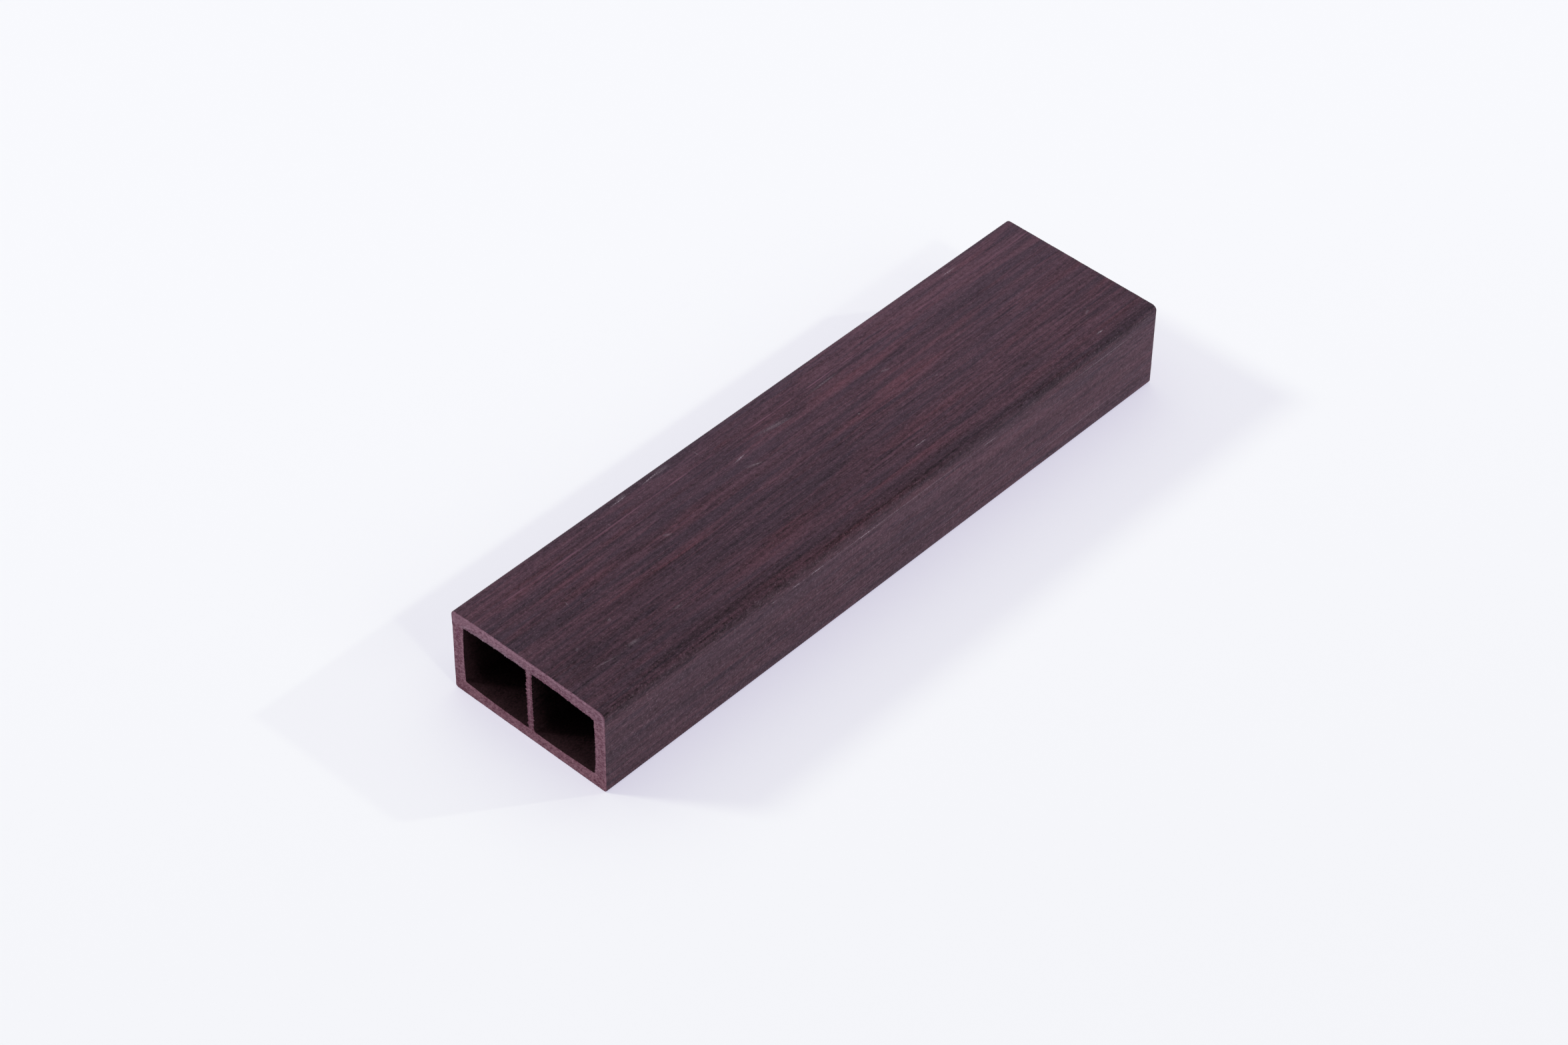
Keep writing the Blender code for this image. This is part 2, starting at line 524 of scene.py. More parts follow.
class Finish:
    """A material under construction, with short names for the nodes used. Its place is in millimetres."""

    def __init__(self, name, specular, roughness):
        self.material = bpy.data.materials.new(name)
        self.material.use_nodes = True
        self.tree = self.material.node_tree
        self.shader = self.tree.nodes["Principled BSDF"]
        self.shader.inputs["Specular IOR Level"].default_value = specular
        self.shader.inputs["Roughness"].default_value = roughness
        coordinates = self.tree.nodes.new("ShaderNodeTexCoord")
        self.place = self.vector("SCALE", coordinates.outputs["Object"], scale=1 / MM)

    def node(self, kind, inputs, **settings):
        """A node with its settings, and its inputs given as values or as other nodes' outputs."""
        node = self.tree.nodes.new("ShaderNode" + kind)
        for name, value in settings.items():
            setattr(node, name, value)
        for key, value in inputs.items():
            self.feed(node.inputs[key], value)
        return node

    def feed(self, socket, value):
        """Gives a socket a value or links an output to it."""
        if isinstance(value, bpy.types.NodeSocket):
            self.tree.links.new(value, socket)
        else:
            socket.default_value = value

    def math(self, operation, first, second=0.0):
        """A number from one or two others."""
        return self.node("Math", {0: first, 1: second}, operation=operation).outputs[0]

    def times(self, first, second):
        """Two numbers multiplied."""
        return self.math("MULTIPLY", first, second)

    def vector(self, operation, first, second=(0, 0, 0), scale=1.0):
        """A vector from one or two others."""
        inputs = {0: first, "Scale": scale} if operation == "SCALE" else {0: first, 1: second}
        return self.node("VectorMath", inputs, operation=operation).outputs["Vector"]

    def ranged(self, value, low, high, to_low=0.0, to_high=1.0):
        """A value turned smoothly from to_low, at low or less, to to_high, at high or more."""
        inputs = {"Value": value, "From Min": low, "From Max": high, "To Min": to_low, "To Max": to_high}
        return self.node("MapRange", inputs, interpolation_type="SMOOTHSTEP").outputs["Result"]

    def total(self, terms):
        """The sum of several numbers."""
        result = terms[0]
        for term in terms[1:]:
            result = self.math("ADD", result, term)
        return result

    def pattern(self, blob, detail=0.0, shift=0.0, distortion=0.0, place=None):
        """Noise from 0 to 1, with blobs of a size along X, Y and Z, or along the axes of another place."""
        place = self.place if place is None else place
        scaled = self.vector("MULTIPLY", place, tuple(1.0 / side for side in blob))
        moved = self.vector("ADD", scaled, tuple(shift * share for share in SHIFT_SHARES))
        inputs = {
            "Vector": moved,
            "Scale": 1.0,
            "Detail": detail,
            "Roughness": NOISE_ROUGHNESS,
            "Distortion": distortion,
        }
        return self.node("TexNoise", inputs).outputs["Fac"]

    def swing(self, value, amount):
        """A pattern from 0 to 1 as a swing about nought, of that size."""
        return self.times(self.math("SUBTRACT", value, 0.5), amount)

    def mixed(self, factor, first, second):
        """Two colours mixed."""
        node = self.node("Mix", {}, data_type="RGBA")
        sockets = {socket.identifier: socket for socket in node.inputs}
        for key, value in (("Factor_Float", factor), ("A_Color", first), ("B_Color", second)):
            self.feed(sockets[key], value)
        return next(socket for socket in node.outputs if socket.identifier == "Result_Color")

    def toned(self, colour, factor):
        """A colour made lighter or darker."""
        colour = colour if isinstance(colour, bpy.types.NodeSocket) else colour[:3]
        return self.vector("SCALE", colour, scale=factor)

    def tinted(self, colour, factor, tint):
        """A colour with each channel multiplied by its part of a tint, as far as the factor says."""
        return self.vector("MULTIPLY", colour, self.mixed(factor, rgb(1.0, 1.0, 1.0), rgb(*tint)))

    def granular(self, marks, grains, strength):
        """A soft mask over marks, broken up into grains by a pattern."""
        broken = self.ranged(grains, *GRAIN_LEVELS, to_low=LEAST_GRAIN, to_high=strength)
        return self.times(self.nearness(marks), broken)

    def nearness(self, marks):
        """How near each place is to the closest mark: 1 on a mark's middle, 0 from its outline on."""
        nearest = None
        for middle, half_sizes, turn in marks:
            inputs = {"Vector": self.place, "Location": middle, "Rotation": turn, "Scale": half_sizes}
            local = self.node("Mapping", inputs, vector_type="TEXTURE").outputs["Vector"]
            length = self.node("VectorMath", {0: local}, operation="LENGTH").outputs["Value"]
            nearest = length if nearest is None else self.math("MINIMUM", nearest, length)
        return self.ranged(nearest, 0.0, 1.0, to_low=1.0, to_high=0.0)

    def finish(self, colour, roughness, height, depth):
        """Puts colour, roughness and a bump of that depth on the shader, and gives the material."""
        self.feed(self.shader.inputs["Base Color"], colour)
        self.feed(self.shader.inputs["Roughness"], roughness)
        bump = self.node("Bump", {"Height": height, "Distance": depth, "Strength": 1.0})
        self.tree.links.new(bump.outputs["Normal"], self.shader.inputs["Normal"])
        return self.material


def rgb(red, green, blue):
    """A colour as linear light, with full alpha."""
    return (red, green, blue, 1.0)


# How deep a mark reaches into the tube, at the skin and at a cut
SKIN_MARK_MM = 1.0
CUT_MARK_MM = 3.0


def top_mark(x0, x1, y0, y1, half_width):
    """A mark on the top face along a line from (x0, y0) to (x1, y1)."""
    half_length = math.hypot(x1 - x0, y1 - y0) / 2 + half_width
    turn = math.atan2(y1 - y0, x1 - x0)
    middle = ((x0 + x1) / 2, (y0 + y1) / 2, TOP_MM)
    return middle, (half_length, half_width, SKIN_MARK_MM), (0.0, 0.0, turn)


def side_mark(x0, x1, z0, z1, half_width):
    """A mark on the right side face along a line from (x0, z0) to (x1, z1)."""
    half_length = math.hypot(x1 - x0, z1 - z0) / 2 + half_width
    turn = math.atan2(z1 - z0, x1 - x0)
    middle = ((x0 + x1) / 2, RIGHT_MM, (z0 + z1) / 2)
    return middle, (half_length, SKIN_MARK_MM, half_width), (0.0, -turn, 0.0)


def end_mark(y0, y1, z0, z1, half_width):
    """A mark on the near cut along a line from (y0, z0) to (y1, z1)."""
    half_length = math.hypot(y1 - y0, z1 - z0) / 2 + half_width
    turn = math.atan2(z1 - z0, y1 - y0)
    middle = (NEAR_MM, (y0 + y1) / 2, (z0 + z1) / 2)
    return middle, (CUT_MARK_MM, half_length, half_width), (turn, 0.0, 0.0)


# Marks on the skin in millimetres: ends along X, ends across the face, half width. A mark that runs to 400
# doesn't fade towards that end of the tube.
BRIGHT_SCUFFS = [
    top_mark(-49, -42, 22.4, 22.7, 0.32),
    top_mark(-38.5, -30, 22.4, 23.1, 0.32),
    top_mark(-17, -12.5, 11.7, 12.3, 0.35),
    top_mark(-13.4, -12.9, 7.7, 7.5, 0.3),
    top_mark(16.7, 17.1, 2, 2, 0.3),
    top_mark(16.7, 22, -15.8, -15.8, 0.3),
    top_mark(69, 76, 21.8, 21.8, 0.3),
    top_mark(79.6, 82.5, -20.9, -20.9, 0.35),
    side_mark(-43, -41, 21.6, 21.6, 0.22),
    side_mark(-36, -32.8, 21.6, 21.6, 0.25),
    side_mark(-30.5, -24.3, 21.6, 21.6, 0.25),
    side_mark(-19, -2, 21.6, 21.6, 0.25),
    side_mark(31, 38, 21.6, 21.6, 0.22),
]
FAINT_SCUFFS = [
    top_mark(-91, -81, -12.3, -13.9, 0.35),
    top_mark(-79, -75, -13.1, -13.3, 0.8),
    top_mark(-63, -60, -12.5, -12.5, 0.5),
    top_mark(-75.8, -75.4, -4, -4, 0.6),
    top_mark(-87.8, -87.2, -5.5, -5.5, 0.5),
    top_mark(-78.9, -78.5, 5.8, 7.9, 0.2),
    top_mark(-53, -53, 17.8, 19.2, 0.16),
    top_mark(-47, -45, 6.7, 5.5, 0.6),
    top_mark(-46, -42.5, 23.1, 23.2, 0.7),
    top_mark(-34, -28, 22.8, 22.9, 0.9),
    top_mark(-20.8, -20.8, 19, 22.6, 0.2),
    top_mark(-17, -11.5, 8.8, 7.2, 0.55),
    top_mark(-7, 6, 14.9, 13, 0.9),
    top_mark(12.5, 26, 15.8, 16.2, 0.4),
    top_mark(32, 34.6, 8.6, 7.9, 0.6),
    top_mark(40.4, 41, -2.2, -2.2, 0.35),
    top_mark(83.8, 85.8, -13.9, -13.2, 0.5),
    side_mark(-43, 46.7, 21.6, 21.6, 0.25),
    side_mark(60, 96, 21.4, 21.6, 0.35),
    side_mark(-55.5, -55.5, 19.5, 23.5, 0.18),
    side_mark(-22, -12, 10, 10, 0.22),
    side_mark(-15, -15, 18, 20.5, 0.16),
    side_mark(18, 24, 5.2, 5.2, 0.2),
    side_mark(24, 24, 5, 7, 0.16),
    side_mark(45, 98, 5.0, 5.4, 0.22),
]
RED_ZONES = [
    top_mark(-98, 0, 0.5, 0.5, 3.5),
    top_mark(-58, 4, -14, -15, 4.0),
    top_mark(0, 52, 3.5, 2.5, 5.0),
    top_mark(-92, -52, 18.9, 18.9, 1.4),
    top_mark(-49, -45, 18.7, 18.7, 1.1),
    top_mark(-17, -11, 18.7, 18.7, 1.1),
    top_mark(-27, 45, -18.8, -18.8, 1.2),
]
PINK_LINES = [top_mark(-400, 400, 17.65, 17.65, 0.36)]
BRIGHT_BANDS = [
    top_mark(-5, 90, 3, 3, 4.5),
    top_mark(-60, -10, 20.6, 20.6, 4.2),
    top_mark(80, 98, 21, 20, 5),
    top_mark(20, 45, -9, -9, 3.5),
    top_mark(-400, 400, 24.0, 24.0, 3.6),
    top_mark(-400, 0, 16.6, 16.6, 3.6),
    top_mark(-14, 98, -7.4, -7.4, 2.6),
    side_mark(-400, 400, 19.2, 19.2, 3.0),
    side_mark(10, 98, 5.0, 5.0, 5.0),
    side_mark(92, 110, 10.0, 10.0, 12.0),
    side_mark(-400, 400, 1.0, 1.0, 3.2),
]
FAR_CORNERS = [
    side_mark(88, 112, 23.6, 23.6, 3.4),
    side_mark(88, 112, 1.4, 1.4, 3.4),
]
DARK_BANDS = [
    top_mark(-98, -58, 2.5, 2.5, 4.5),
    top_mark(-98, -66, -9.5, -12, 6.5),
    top_mark(-45, 45, -3.5, -3.5, 3.5),
    top_mark(0, 52, -14.8, -14.8, 3.2),
    top_mark(12, 46, -20.8, -20.8, 3.0),
]
DARK_STREAKS = [
    top_mark(-98, 10, 14.4, 14.4, 0.9),
    top_mark(0, 98, -8.0, -7.4, 0.8),
    top_mark(-94, -84, -5.0, -5.0, 0.6),
    top_mark(-91, -84, -14.8, -14.8, 0.6),
    top_mark(-75, -66, -14.8, -14.8, 0.6),
    top_mark(16.9, 16.9, 2, 2, 0.9),
]

# Marks on the near cut in millimetres: ends along Y, ends along Z, half width
# A pale line along the facet's edge: partly torn fibres, partly a painted highlight of the step
FACET_RIDGE_FIBRES_AND_HIGHLIGHT = [end_mark(*FACET_LINE_MM[0], *FACET_LINE_MM[1], 0.3)]
SAW_SCRATCHES = [
    end_mark(24.6, 20.6, 18.0, 24.9, 0.16),
    end_mark(24.0, 22.2, 20.6, 23.8, 0.14),
    end_mark(22.4, 19.0, 20.2, 24.4, 0.14),
    end_mark(21.0, 18.6, 22.4, 24.6, 0.18),
    end_mark(18.8, 17.4, 22.2, 23.8, 0.18),
    end_mark(14.6, 13.2, 22.4, 24.2, 0.14),
]
# Dark notches torn into the web's edges: painted shade in them
WEB_NOTCH_SHADES = [
    end_mark(-1.15, -0.95, 4.4, 4.7, 0.32),
    end_mark(-1.05, -0.95, 8.6, 8.9, 0.26),
    end_mark(-1.05, -0.8, 12.0, 12.3, 0.28),
    end_mark(-1.0, -0.75, 14.4, 15.2, 0.24),
    end_mark(-1.0, -0.75, 16.6, 17.0, 0.28),
    end_mark(0.8, 0.6, 18.2, 18.7, 0.24),
]
MAGENTA_PATCHES = [end_mark(23.2, 23.4, 16.6, 20.8, 0.5)]

# Where zones of the skin begin and end: its top face, the darker strip by its right long edge, that edge, and
# the painted light that lightens the skin slowly towards the far end and its top towards +Y
TOP_FACE_Z_MM = (24.3, 25.4)
STRIP_Y_MM = (-20.4, -22.2)
STRIP_Z_MM = (21.8, 24.4)
EDGE_Y_MM = (-23.0, -24.4)
EDGE_Z_MM = (22.6, 24.4)
PAINTED_LIGHT_ALONG_MM = (-100.0, 100.0)
PAINTED_LIGHT_ACROSS_MM = (-25.0, 25.0)

# How strong the side's streaks are beside the top's, and the facet's grain beside that of the rest of the cut
SIDE_CONTRAST = 0.58
FACET_GRAIN = 0.55

# Where the walls of the cut begin, and where a place is wholly in them
LOWER_WALLS_Z_MM = (22.3, 20.3)
BOTTOM_WALL_Z_MM = (4.5, 3.2)
LEFT_WALL_Y_MM = (19.5, 22.0)
RIGHT_WALL_Y_MM = (-19.5, -22.0)
WEB_Y_MM = (3.0, 1.2)
TOP_LEFT_Y_MM = (-6.0, 8.0)

# The facet's edge by its distance from the line, and the part of the tube that has the facet
RIDGE_MM = (0.1, -0.3)
NEAR_HALF_X_MM = (0.0, -50.0)

# Lines along the cut's rims by their gap to the rim: the two sides of the outer one, which is a painted
# highlight, the inner one, the worn rims themselves, and the middle of the web
OUTER_HIGHLIGHT_RIM_MM = (0.1, 0.60)
OUTER_HIGHLIGHT_INSIDE_MM = (1.30, 0.70)
INNER_LINE_MM = (1.3, 0.3)
WORN_LINE_MM = (0.35, 0.0)
WEB_MIDDLE_MM = (0.3, 0.7)

# The chambers' mouths, by which painted light lightens them, their web, and the heights between which painted
# shade darkens their walls and ceilings
MOUTH_LIGHT_X_MM = (91.0, 98.5)
CHAMBER_WEB_Y_MM = (3.0, 1.4)
PAINTED_SHADE_Z_MM = (3.5, 12.0)

# Depths of the fine bumps in the materials
SKIN_BUMP = 0.03 * MM
CUT_BUMP = 0.05 * MM
CHAMBER_BUMP = 0.02 * MM

# The skin's colours: in shade and at its warmest along the streaks, then dashes, pale grains, scuffs, a line
SKIN_SHADE = rgb(0.0408, 0.0248, 0.0359)
SKIN_WARM = rgb(0.0641, 0.0328, 0.0463)
SKIN_DARK = rgb(0.0290, 0.0192, 0.0300)
SKIN_PALE = rgb(0.170, 0.125, 0.150)
SKIN_SCUFFED = rgb(0.27, 0.22, 0.26)
SKIN_PINK = rgb(0.125, 0.060, 0.088)
SKIN_RED_TINT = (1.15, 0.96, 0.94)
# Painted light: the side faces' tint stands in for the different light that falls on them
SIDE_PAINTED_LIGHT_TINT = (0.975, 1.03, 0.990)

# The cut's colours: its deepest, its palest, how far past the palest its light may go, and tints of its lower
# walls, its bottom wall, a patch and the inner line under the top wall's left
CUT_DEEP = rgb(0.131, 0.0510, 0.0815)
CUT_PALE = rgb(0.318, 0.178, 0.236)
CUT_MOST_LIGHT = 1.4
CUT_LOWER_TINT = (1.0, 0.955, 0.935)
CUT_BOTTOM_TINT = (1.01, 0.96, 0.95)
CUT_MAGENTA_TINT = (1.0, 0.84, 1.04)
CUT_GREY_TINT = (0.90, 1.03, 1.0)

# The chambers' colour: the composite's brown, darkened with painted shade of the deep chambers
CHAMBER_BROWN_AND_SHADE = rgb(0.0245, 0.0110, 0.0134)


def skin_material():
    """Brown composite, streaked lengthwise over an even sand-like grain, with red zones and scuffs."""
    skin = Finish("composite_skin", specular=0.05, roughness=0.65)
    place = skin.node("SeparateXYZ", {0: skin.place}).outputs
    zones = skin.pattern((45, 7, 7), detail=1.0, shift=4.0)
    bands = skin.pattern((80, 2.8, 2.8), detail=1.0, shift=11.0)
    lines = skin.pattern((110, 1.7, 1.7), detail=1.0, shift=91.0, distortion=0.2)
    fine_lines = skin.pattern((70, 0.75, 0.75), detail=1.0, shift=97.0, distortion=0.2)
    streaks = skin.pattern((22, 1.0, 1.0), detail=1.0, shift=17.0, distortion=0.3)
    threads = skin.pattern((16, 0.5, 0.5), detail=1.0, shift=67.0, distortion=0.3)
    dashes = skin.ranged(skin.pattern((9, 0.5, 0.5), shift=23.0, distortion=0.4), 0.55, 0.72)
    patches = skin.pattern((26, 5, 5), detail=1.0, shift=83.0)
    lively = skin.ranged(patches, 0.36, 0.64, to_low=0.45, to_high=1.3)
    wisps = skin.pattern((2.2, 0.5, 0.5), shift=31.0)
    mottle = skin.pattern((1.2, 0.9, 0.9), shift=29.0)
    specks = skin.pattern((0.42, 0.36, 0.36), detail=1.0, shift=37.0)
    flecks = skin.ranged(skin.pattern((0.45, 0.38, 0.38), shift=41.0), 0.62, 0.80)

    on_top = skin.ranged(place["Z"], *TOP_FACE_Z_MM)
    contrast = skin.ranged(on_top, 0.0, 1.0, to_low=SIDE_CONTRAST)
    by_edge = skin.times(skin.ranged(place["Y"], *STRIP_Y_MM), skin.ranged(place["Z"], *STRIP_Z_MM))
    on_edge = skin.times(skin.ranged(place["Y"], *EDGE_Y_MM), skin.ranged(place["Z"], *EDGE_Z_MM))
    warmth = skin.total([
        skin.swing(zones, 1.5),
        skin.swing(bands, 2.8),
        skin.times(skin.swing(streaks, 2.6), lively),
    ])
    colour = skin.mixed(skin.math("ADD", skin.times(warmth, contrast), 0.5), SKIN_SHADE, SKIN_WARM)
    colour = skin.mixed(skin.times(dashes, 0.5), colour, SKIN_DARK)
    red = skin.total([
        skin.times(skin.nearness(RED_ZONES), 0.75),
        skin.swing(skin.pattern((50, 4, 4), detail=1.0, shift=53.0), 3.0),
    ])
    colour = skin.tinted(colour, skin.times(red, contrast), SKIN_RED_TINT)
    # Painted light: the side faces tinted for the light that falls on them
    colour = skin.tinted(colour, skin.ranged(on_top, 1.0, 0.0), SIDE_PAINTED_LIGHT_TINT)
    fibres = skin.total([
        skin.swing(lines, 0.72),
        skin.swing(fine_lines, 0.50),
        skin.times(skin.swing(threads, 1.0), lively),
    ])
    tone = skin.total([
        1.02,
        skin.times(skin.ranged(fibres, -0.34, 0.20, to_low=-0.30, to_high=0.12), contrast),
        skin.times(by_edge, -0.15),
        skin.times(on_edge, -0.18),
        # Painted light: the skin lighter towards the far end, and its top lighter towards +Y
        skin.ranged(place["X"], *PAINTED_LIGHT_ALONG_MM, to_low=-0.12, to_high=0.12),
        skin.times(on_top, skin.ranged(place["Y"], *PAINTED_LIGHT_ACROSS_MM, to_low=-0.10, to_high=0.09)),
        skin.times(skin.nearness(BRIGHT_BANDS), 0.12),
        skin.times(skin.nearness(FAR_CORNERS), 0.20),
        skin.times(skin.nearness(DARK_BANDS), -0.10),
        skin.times(skin.nearness(DARK_STREAKS), -0.16),
        skin.swing(wisps, 0.40),
        skin.swing(mottle, 0.60),
        skin.swing(specks, 1.05),
    ])
    colour = skin.toned(colour, tone)
    colour = skin.mixed(skin.times(flecks, 0.18), colour, SKIN_PALE)

    grains = skin.pattern((0.34, 0.28, 0.28), detail=1.0, shift=61.0)
    gaps = skin.pattern((6, 0.6, 0.6), shift=71.0)
    uneven = skin.ranged(gaps, 0.38, 0.66, to_low=0.2, to_high=0.95)
    colour = skin.mixed(skin.times(skin.nearness(PINK_LINES), uneven), colour, SKIN_PINK)
    faint = skin.granular(FAINT_SCUFFS, grains, 0.32)
    bright = skin.granular(BRIGHT_SCUFFS, grains, 0.95)
    colour = skin.mixed(skin.math("MAXIMUM", faint, bright), colour, SKIN_SCUFFED)

    roughness = skin.total([0.66, skin.swing(streaks, 0.15), skin.swing(specks, 0.2)])
    height = skin.total([
        skin.times(streaks, 0.4),
        skin.times(threads, 0.5),
        skin.times(wisps, 0.4),
        skin.times(specks, 0.6),
        skin.times(dashes, -0.3),
    ])
    return skin.finish(colour, roughness, height, SKIN_BUMP)


def cut_material():
    """The sawn composite: pale and granular, paler by its rims, with a saw facet in the near end's corner."""
    cut = Finish("composite_cut", specular=0.15, roughness=0.85)
    place = cut.node("SeparateXYZ", {0: cut.place}).outputs
    outer_gap = cut.node("Attribute", {}, attribute_name=GAP_NAMES[0]).outputs["Fac"]
    inner_gap = cut.node("Attribute", {}, attribute_name=GAP_NAMES[1]).outputs["Fac"]
    mottle = cut.pattern((2.2, 2.2, 1.6), detail=1.0, shift=3.0)
    grains = cut.pattern((0.9, 0.9, 0.9), shift=33.0)
    granules = cut.pattern((0.35, 0.35, 0.35), detail=1.0, shift=9.0)
    pits = cut.ranged(cut.pattern((0.5, 0.5, 0.5), shift=21.0), 0.66, 0.76)
    chips = cut.ranged(cut.pattern((0.4, 0.4, 0.4), shift=27.0), 0.64, 0.76)

    # The near end's saw facet is smoother, and scratched along its lower edge. The fibres of both cuts lie
    # along that edge too.
    (ridge_y, end_y), (ridge_z, end_z) = FACET_LINE_MM
    ridge_turn = math.atan2(end_z - ridge_z, end_y - ridge_y)
    by_ridge = cut.node("Mapping", {
        "Vector": cut.place,
        "Location": (NEAR_MM, ridge_y, ridge_z),
        "Rotation": (ridge_turn, 0.0, 0.0),
    }, vector_type="TEXTURE").outputs["Vector"]
    above_ridge = cut.ranged(cut.node("SeparateXYZ", {0: by_ridge}).outputs["Z"], *RIDGE_MM)
    facet = cut.times(above_ridge, cut.ranged(place["X"], *NEAR_HALF_X_MM))
    scratches = cut.pattern((1.0, 3.5, 0.24), detail=1.0, shift=57.0, place=by_ridge)
    fibres = cut.pattern((0.5, 0.9, 0.2), shift=15.0, place=by_ridge)

    # How far a place is in each wall, from 0 to 1
    lower = cut.ranged(place["Z"], *LOWER_WALLS_Z_MM)
    bottom = cut.ranged(place["Z"], *BOTTOM_WALL_Z_MM)
    left_wall = cut.times(lower, cut.ranged(place["Y"], *LEFT_WALL_Y_MM))
    right_wall = cut.times(lower, cut.ranged(place["Y"], *RIGHT_WALL_Y_MM))
    web = cut.times(lower, cut.ranged(cut.math("ABSOLUTE", place["Y"]), *WEB_Y_MM))
    top_left = cut.times(cut.ranged(lower, 1.0, 0.0), cut.ranged(place["Y"], *TOP_LEFT_Y_MM))

    # A pale line just inside the outer rim, which is a painted highlight of the saw-cut edge, strongest on
    # the top wall's left part and along the right wall, and a wider one along the chambers, which is pale at
    # the side walls and dark elsewhere. The worn rims themselves are darker.
    wander = cut.swing(cut.pattern((2.5, 2.5, 2.5), detail=1.0, shift=39.0), 0.5)
    to_outer = cut.total([outer_gap, wander, cut.times(right_wall, 0.40)])
    rim_side = cut.ranged(to_outer, *OUTER_HIGHLIGHT_RIM_MM)
    outer_highlight = cut.times(rim_side, cut.ranged(to_outer, *OUTER_HIGHLIGHT_INSIDE_MM))
    outer_highlight_level = cut.total([
        0.32,
        cut.times(top_left, 0.14),
        cut.times(facet, -0.26),
        cut.times(left_wall, -0.25),
        cut.times(right_wall, -0.06),
        cut.times(bottom, -0.22),
    ])
    inner_light = cut.total([
        -0.15,
        cut.times(top_left, 0.17),
        cut.times(left_wall, 0.44),
        cut.times(right_wall, 0.27),
        cut.times(bottom, 0.19),
    ])
    inner_line = cut.ranged(cut.math("ADD", inner_gap, wander), *INNER_LINE_MM)
    torn_line = cut.ranged(inner_gap, *WORN_LINE_MM)
    worn_line = cut.ranged(outer_gap, *WORN_LINE_MM)
    web_middle = cut.times(web, cut.ranged(inner_gap, *WEB_MIDDLE_MM))

    grain = cut.total([
        cut.swing(grains, 0.8),
        cut.swing(granules, 0.9),
        cut.swing(fibres, 1.3),
        cut.times(pits, -0.30),
        cut.times(chips, 0.35),
    ])
    light = cut.total([
        0.42,
        cut.swing(mottle, 0.5),
        cut.times(grain, cut.ranged(facet, 0.0, 1.0, to_low=1.0, to_high=FACET_GRAIN)),
        cut.times(facet, cut.swing(scratches, 1.1)),
        cut.times(facet, -0.08),
        # Painted highlight along the outer rim
        cut.times(outer_highlight, outer_highlight_level),
        cut.times(inner_line, inner_light),
        cut.times(torn_line, -0.14),
        cut.times(worn_line, -0.14),
        cut.times(top_left, 0.15),
        cut.times(bottom, 0.03),
        cut.times(left_wall, -0.12),
        cut.times(right_wall, -0.05),
        # The web darker: partly painted shade, partly its rougher grain
        cut.times(web, -0.17),
        cut.times(web_middle, 0.20),
        # Painted shade in the web's notches
        cut.times(cut.nearness(WEB_NOTCH_SHADES), -0.90),
        # The facet's edge: partly pale fibres, partly a painted highlight
        cut.times(cut.nearness(FACET_RIDGE_FIBRES_AND_HIGHLIGHT), 0.55),
        cut.times(cut.nearness(SAW_SCRATCHES), 0.28),
    ])
    light = cut.math("MINIMUM", cut.math("MAXIMUM", light, 0.0), CUT_MOST_LIGHT)
    colour = cut.mixed(light, CUT_DEEP, CUT_PALE)
    colour = cut.tinted(colour, lower, CUT_LOWER_TINT)
    colour = cut.tinted(colour, bottom, CUT_BOTTOM_TINT)
    colour = cut.tinted(colour, cut.nearness(MAGENTA_PATCHES), CUT_MAGENTA_TINT)
    colour = cut.tinted(colour, cut.times(top_left, inner_line), CUT_GREY_TINT)
    roughness = cut.total([0.85, cut.swing(granules, 0.2)])
    height = cut.total([granules, cut.times(fibres, 0.6), cut.times(pits, -0.7)])
    return cut.finish(colour, roughness, height, CUT_BUMP)


def chamber_material():
    """The inside of the chambers: dark, smoother than the skin, with die lines along it and saw dust, with
    painted light by the mouths and painted shade on the walls and ceilings.
    """
    chamber = Finish("composite_chamber", specular=0.1, roughness=0.5)
    place = chamber.node("SeparateXYZ", {0: chamber.place}).outputs
    die_lines = chamber.pattern((60, 0.6, 0.6), detail=1.0, shift=5.0)
    clouds = chamber.pattern((12, 3, 3), detail=2.0, shift=13.0)
    dust = chamber.pattern((0.6, 0.45, 0.45), detail=1.0, shift=19.0)
    lit_by_mouth = chamber.ranged(chamber.math("ABSOLUTE", place["X"]), *MOUTH_LIGHT_X_MM)
    on_web = chamber.ranged(chamber.math("ABSOLUTE", place["Y"]), *CHAMBER_WEB_Y_MM)
    tone = chamber.total([
        0.62,
        chamber.swing(die_lines, 0.5),
        chamber.swing(clouds, 0.5),
        chamber.swing(dust, 2.2),
        # Painted shade on the walls and ceilings, above the floor
        chamber.ranged(place["Z"], *PAINTED_SHADE_Z_MM, to_low=0.0, to_high=-0.34),
        # Painted light by the mouths
        chamber.times(lit_by_mouth, 0.46),
        chamber.times(on_web, -0.18),
    ])
    colour = chamber.toned(CHAMBER_BROWN_AND_SHADE, tone)
    roughness = chamber.total([0.5, chamber.swing(clouds, 0.2)])
    height = chamber.total([chamber.times(die_lines, 0.6), chamber.times(dust, 0.6)])
    return chamber.finish(colour, roughness, height, CHAMBER_BUMP)


# Studio. The camera sees the floor's plain colour in part, by channel, which keeps it pale and its shadows
# light and slightly lilac. What the floor throws on the tube comes from the lamps alone.

FLOOR_SIDE = 12.0
FLOOR_DROP = 0.03 * MM
FLOOR_COLOUR = (0.932, 0.940, 0.976)
FLOOR_PLAIN_SHARES = (0.50, 0.46, 0.62)

# Painted light: the floor's tone rises in this direction, between these places along it
FLOOR_LIGHT_DIRECTION = (0.55, 0.83)
FLOOR_LIGHT_BETWEEN_MM = (-200.0, 150.0)
FLOOR_PAINTED_LIGHT_LEVELS = (0.975, 1.010)

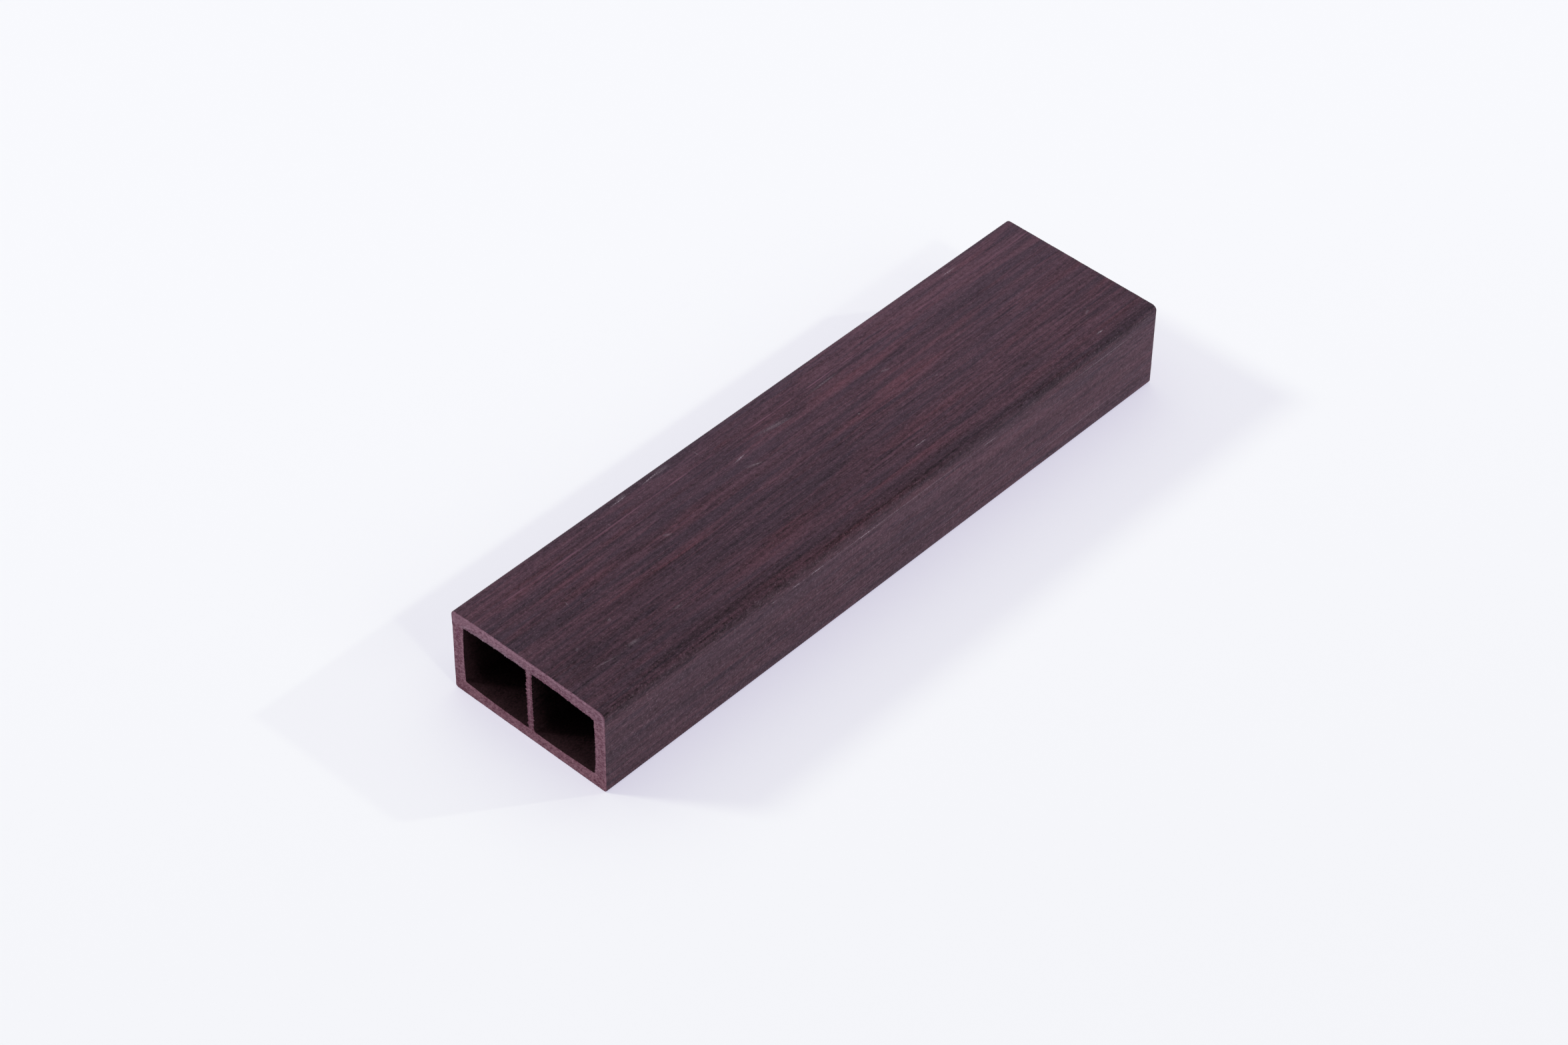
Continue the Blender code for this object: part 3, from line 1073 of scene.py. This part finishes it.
BACKDROP_COLOUR = rgb(*FLOOR_COLOUR)
DOME_COLOUR = rgb(1.0, 1.0, 1.0)
DOME_LEVEL = 0.09

# Lamps: azimuth from +X, elevation and apparent size in degrees, and the share of a level surface's light
LAMPS = {
    "hard_lamp": (-35.4, 27.7, 1.7, 0.08),
    "near_lamp": (-101.0, 41.4, 4.0, 0.07),
    "side_lamp": (-88.0, 34.0, 36.0, 0.075),
    "back_lamp": (124.0, 33.2, 9.5, 0.215),
    "broad_lamp": (53.4, 70.3, 86.0, 0.470),
}
# A low fill for the tube alone, which would otherwise throw a long shadow that the photo doesn't have
FILL_LAMP = (-80.0, 12.0, 50.0, 0.182)

# Camera, from fitting the photo's edges: where it stands, what it aims at, its roll in degrees and its lens
CAMERA_PLACE = (-0.55211, -0.49398, 0.70511)
CAMERA_AIM = (-0.01396, -0.00193, 0.01275)
CAMERA_ROLL = 0.826
CAMERA_LENS = 95.64
SENSOR_WIDTH = 36.0


def direction(azimuth, elevation):
    """The unit vector towards an azimuth from +X and an elevation, in degrees."""
    a, e = math.radians(azimuth), math.radians(elevation)
    return Vector((math.cos(a) * math.cos(e), math.sin(a) * math.cos(e), math.sin(e)))


def add_lamp(name, azimuth, elevation, size, share):
    """A distant lamp. The shares in LAMPS and the dome's level add up to 1, so colours show as written."""
    light = bpy.data.lights.new(name, "SUN")
    light.energy = math.pi * share / math.sin(math.radians(elevation))
    light.angle = math.radians(size)
    lamp = bpy.data.objects.new(name, light)
    lamp.rotation_mode = "QUATERNION"
    lamp.rotation_quaternion = direction(azimuth, elevation).to_track_quat("Z", "Y")
    bpy.context.scene.collection.objects.link(lamp)
    return lamp


def add_lamps(tube):
    """The lamps, of which the fill lights the tube alone."""
    for name, setting in LAMPS.items():
        add_lamp(name, *setting)
    lit_by_fill = bpy.data.collections.new("lit_by_fill")
    lit_by_fill.objects.link(tube)
    add_lamp("fill_lamp", *FILL_LAMP).light_linking.receiver_collection = lit_by_fill


def add_floor():
    """The pale floor that the tube rests on."""
    finish = Finish("studio_floor", specular=0.0, roughness=1.0)
    seen = finish.tree.nodes.new("ShaderNodeLightPath").outputs["Is Camera Ray"]
    place = finish.node("SeparateXYZ", {0: finish.place}).outputs
    # Painted light: the floor brighter in one direction
    along_x = finish.times(place["X"], FLOOR_LIGHT_DIRECTION[0])
    along_direction = finish.total([along_x, finish.times(place["Y"], FLOOR_LIGHT_DIRECTION[1])])
    tone = finish.ranged(along_direction, *FLOOR_LIGHT_BETWEEN_MM, *FLOOR_PAINTED_LIGHT_LEVELS)
    plain = [channel * share for channel, share in zip(FLOOR_COLOUR, FLOOR_PLAIN_SHARES)]
    shaded = [channel - part for channel, part in zip(FLOOR_COLOUR, plain)]
    colour = finish.mixed(seen, rgb(*FLOOR_COLOUR), rgb(*shaded))
    finish.feed(finish.shader.inputs["Base Color"], finish.toned(colour, tone))
    finish.feed(finish.shader.inputs["Emission Color"], finish.toned(plain, tone))
    finish.feed(finish.shader.inputs["Emission Strength"], seen)
    half = FLOOR_SIDE / 2
    level = LOW.z - FLOOR_DROP
    corners = [(-half, -half, level), (half, -half, level), (half, half, level), (-half, half, level)]
    mesh = bpy.data.meshes.new("studio_floor")
    mesh.from_pydata(corners, [], [(0, 1, 2, 3)])
    mesh.materials.append(finish.material)
    floor = bpy.data.objects.new("studio_floor", mesh)
    bpy.context.scene.collection.objects.link(floor)


def add_world():
    """A dim even dome, seen by the camera and in reflections as the pale backdrop."""
    world = bpy.data.worlds.new("studio")
    bpy.context.scene.world = world
    world.use_nodes = True
    nodes, links = world.node_tree.nodes, world.node_tree.links
    rays = nodes.new("ShaderNodeLightPath")
    seen = nodes.new("ShaderNodeMath")
    seen.operation = "ADD"
    seen.use_clamp = True
    links.new(rays.outputs["Is Camera Ray"], seen.inputs[0])
    reflected = nodes.new("ShaderNodeMath")
    reflected.operation = "ADD"
    links.new(rays.outputs["Is Glossy Ray"], reflected.inputs[0])
    links.new(rays.outputs["Is Transmission Ray"], reflected.inputs[1])
    links.new(reflected.outputs[0], seen.inputs[1])
    dome = nodes["Background"]
    dome.inputs["Color"].default_value = DOME_COLOUR
    dome.inputs["Strength"].default_value = DOME_LEVEL
    backdrop = nodes.new("ShaderNodeBackground")
    backdrop.inputs["Color"].default_value = BACKDROP_COLOUR
    choice = nodes.new("ShaderNodeMixShader")
    links.new(seen.outputs[0], choice.inputs["Fac"])
    links.new(dome.outputs[0], choice.inputs[1])
    links.new(backdrop.outputs[0], choice.inputs[2])
    links.new(choice.outputs[0], nodes["World Output"].inputs["Surface"])


def add_camera():
    """The camera at the photo's place, without shift or depth of field."""
    camera_data = bpy.data.cameras.new("photo_camera")
    camera_data.sensor_width = SENSOR_WIDTH
    camera_data.lens = CAMERA_LENS
    camera = bpy.data.objects.new("photo_camera", camera_data)
    turn = (Vector(CAMERA_AIM) - Vector(CAMERA_PLACE)).to_track_quat("-Z", "Y").to_matrix().to_4x4()
    roll = Matrix.Rotation(math.radians(CAMERA_ROLL), 4, "Z")
    camera.matrix_world = Matrix.Translation(CAMERA_PLACE) @ turn @ roll
    bpy.context.scene.collection.objects.link(camera)
    bpy.context.scene.camera = camera


def main():
    """The dressed tube, the studio and the camera."""
    materials = [skin_material(), cut_material(), chamber_material()]
    tube = build_tube(materials)
    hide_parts(TUBE_NODE)
    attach(tube, BODY)
    add_floor()
    add_world()
    add_lamps(tube)
    add_camera()
    bpy.context.scene.view_settings.view_transform = "Standard"


main()
